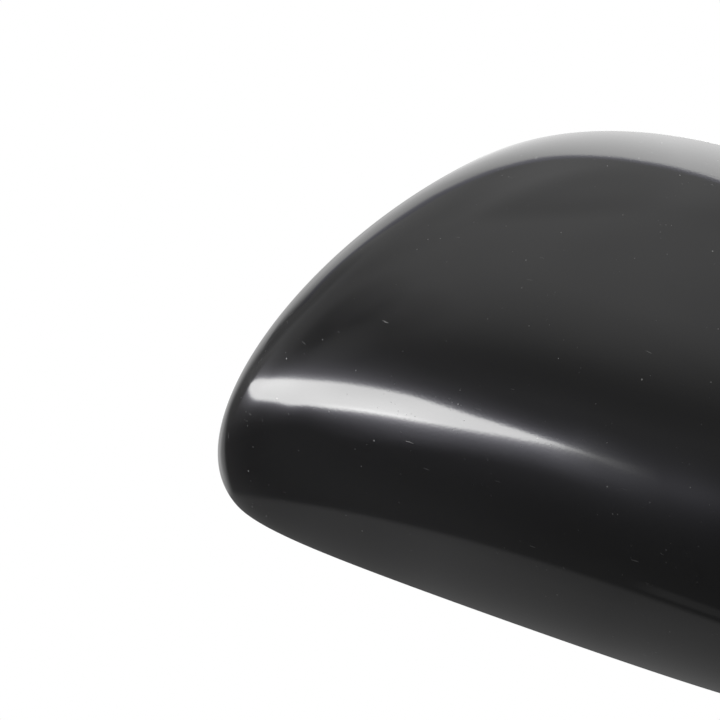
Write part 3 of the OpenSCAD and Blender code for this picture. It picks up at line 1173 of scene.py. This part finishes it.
def floor():
    """The floor's one face; its material makes the pale ellipse, the band and the shade."""
    material, n = new_material("floor_pale")
    place = n.add("ShaderNodeTexCoord").outputs["Object"]
    axes = n.add("ShaderNodeSeparateXYZ", {"Vector": place})
    across = n.math("DIVIDE", axes.outputs["X"], MM)
    deep = n.math("DIVIDE", axes.outputs["Y"], MM)
    x = n.math("DIVIDE", n.math("SUBTRACT", across, PALE_CENTRE[0]), PALE_SIZE[0])
    y = n.math("DIVIDE", n.math("SUBTRACT", deep, PALE_CENTRE[1]), PALE_SIZE[1])

    def length(a, b):
        return n.math("SQRT", n.math("ADD", n.math("MULTIPLY", a, a), n.math("MULTIPLY", b, b)))

    away = length(x, y)
    slope = length(n.math("DIVIDE", x, PALE_SIZE[0]), n.math("DIVIDE", y, PALE_SIZE[1]))
    rise = n.math("MULTIPLY", n.math("SUBTRACT", away, 1.0), away)
    outside = n.math("DIVIDE", rise, n.math("MAXIMUM", slope, TINY))
    near = n.step(outside, *PALE_EDGE)
    band = n.math("MULTIPLY", n.step(outside, *BAND_NEAR), n.step(outside, *BAND_FAR))
    band = n.math("MULTIPLY", n.math("MULTIPLY", band, n.step(across, *BAND_FROM)), BAND_GLOW)
    left_over = n.line(across, CONTACT_LEFT, CONTACT_RIGHT)
    closeness = n.line(deep, (PALE_OPEN, 0.0), (PALE_CONTACT, 1.0))
    shade = n.math("SUBTRACT", 1.0, n.math("MULTIPLY", closeness, n.math("SUBTRACT", 1.0, left_over)))
    seen = n.add("ShaderNodeLightPath").outputs["Is Camera Ray"]
    white = n.add("ShaderNodeEmission", {"Strength": 1.0})
    pale = n.add("ShaderNodeEmission", {"Strength": n.math("MULTIPLY", n.ramp(across, PALE), shade)})
    faint = n.add("ShaderNodeEmission", {"Strength": band})
    clear = n.add("ShaderNodeAddShader", {0: faint, 1: n.add("ShaderNodeBsdfTransparent")})
    other = n.add("ShaderNodeMixShader", {0: near, 1: clear, 2: pale})
    both = n.add("ShaderNodeMixShader", {0: seen, 1: other, 2: white})
    n.add("ShaderNodeOutputMaterial", {"Surface": both.outputs[0]})
    half = FLOOR_HALF * MM
    corners = [(-half, -half, 0), (half, -half, 0), (half, half, 0), (-half, half, 0)]
    stage_mesh("floor", corners, [(0, 1, 2, 3)], material)


# Surroundings: a soft ceiling that leans to the left, with its light by the cosine off its axis
SKY_TILT = 24.1
SKY_TOWARDS = -91.5
SKY = [
    (-1.0, 0.12),
    (-0.5, 0.11),
    (-0.25, 0.09),
    (0.0, 0.09),
    (0.16, 0.16),
    (0.3, 0.27),
    (0.42, 0.33),
    (0.5, 0.31),
    (0.57, 0.31),
    (0.64, 0.35),
    (0.71, 0.445),
    (0.78, 0.59),
    (0.855, 0.76),
    (0.926, 0.91),
    (1.0, 1.09),
]
# A pale backdrop behind the cover: its light, cosines off the way straight back between which it rises at the
# sides, and elevations between which it rises below its top and above its foot
BACKDROP_GLOW = 0.46
BACKDROP_SIDES = (0.875, 0.966)
BACKDROP_TOP = (0.0, -8.0)
BACKDROP_FOOT = (-40.0, -25.0)
# Soft patches: view azimuth, elevation, angle from their middle to full light and to none, light added
PATCHES = [
    (0, 90, 12, 32, 0.1),
    (-58, 50, 5, 28, 0.06),
    (-83, 21, 3, 16, -0.13),
    (-145, 32, 6, 24, 0.18),
    (-123, 22, 4, 15, 0.06),
    (-28, -35, 10, 45, 0.06),
    (-98, 71, 5, 20, -0.07),
    (-128, 40, 3, 14, -0.14),
    (-68, 29, 4, 13, -0.09),
    (-66, 15, 3, 12, 0.1),
    (-95, -38, 12, 35, -0.03),
    (-115, 0, 3.5, 11, -0.13),
    (-117, -27, 2.5, 10, 0.27),
    (155, 35, 0, 42, 3.6),
    (100, 30, 0, 58, 0.9),
]


def view_way(azimuth, elevation):
    """Direction towards a camera at that view azimuth and elevation."""
    a, e = math.radians(azimuth), math.radians(elevation)
    return (math.sin(a) * math.cos(e), -math.cos(a) * math.cos(e), math.sin(e))


def surroundings():
    """The world: white to the camera, and ceiling, backdrop and patches to reflections."""
    world = bpy.data.worlds.new("studio")
    bpy.context.scene.world = world
    world.use_nodes = True
    n = Nodes(world.node_tree)
    way = n.add("ShaderNodeTexCoord").outputs["Generated"]

    def towards(azimuth, elevation):
        """Cosine of the angle off that view direction."""
        axis = view_way(azimuth, elevation)
        return n.add("ShaderNodeVectorMath", {0: way, 1: axis}, operation="DOT_PRODUCT").outputs["Value"]

    light = n.ramp(towards(SKY_TOWARDS, 90 - SKY_TILT), SKY)
    height = n.add("ShaderNodeSeparateXYZ", {"Vector": way}).outputs["Z"]
    left = n.math("SUBTRACT", 1.0, n.math("MULTIPLY", height, height))
    flat = n.math("SQRT", n.math("MAXIMUM", left, TINY))
    backdrop = n.step(n.math("DIVIDE", towards(CAMERA_AZIMUTH + 180, 0), flat), *BACKDROP_SIDES)
    for ends in (BACKDROP_TOP, BACKDROP_FOOT):
        rise = n.step(height, *(math.sin(math.radians(end)) for end in ends))
        backdrop = n.math("MULTIPLY", backdrop, rise)
    light = n.math("ADD", light, n.math("MULTIPLY", backdrop, BACKDROP_GLOW))
    for azimuth, elevation, full, none, added in PATCHES:
        ends = (math.cos(math.radians(angle)) for angle in (none, full))
        patch = n.step(towards(azimuth, elevation), *ends)
        light = n.math("ADD", light, n.math("MULTIPLY", patch, added))
    seen = n.add("ShaderNodeLightPath").outputs["Is Camera Ray"]
    soft = n.add("ShaderNodeBackground", {"Color": WHITE, "Strength": n.math("MAXIMUM", light, 0.0)})
    white = n.add("ShaderNodeBackground", {"Color": WHITE, "Strength": 1.0})
    both = n.add("ShaderNodeMixShader", {0: seen, 1: soft, 2: white})
    n.add("ShaderNodeOutputWorld", {"Surface": both.outputs[0]})


def camera():
    data = bpy.data.cameras.new("camera")
    data.sensor_width = SENSOR
    data.lens = CAMERA_LENS
    data.clip_start = CAMERA_NEAR
    cam = bpy.data.objects.new("camera", data)
    bpy.context.scene.collection.objects.link(cam)
    back = Vector(view_way(CAMERA_AZIMUTH, CAMERA_ELEVATION))
    cam.location = Vector(CAMERA_AIM) + back * CAMERA_DISTANCE
    cam.rotation_mode = "QUATERNION"
    cam.rotation_quaternion = (-back).to_track_quat("-Z", "Y")
    bpy.context.scene.camera = cam


camera()
shell()
rear_features()
front_features()
ribs()
ejector_marks()
surroundings()
floor()
strip_light()
strip_spill()
back_panel()

view = bpy.context.scene.view_settings
view.view_transform = "Standard"
view.look = "None"
view.exposure = 0.0
view.gamma = 1.0
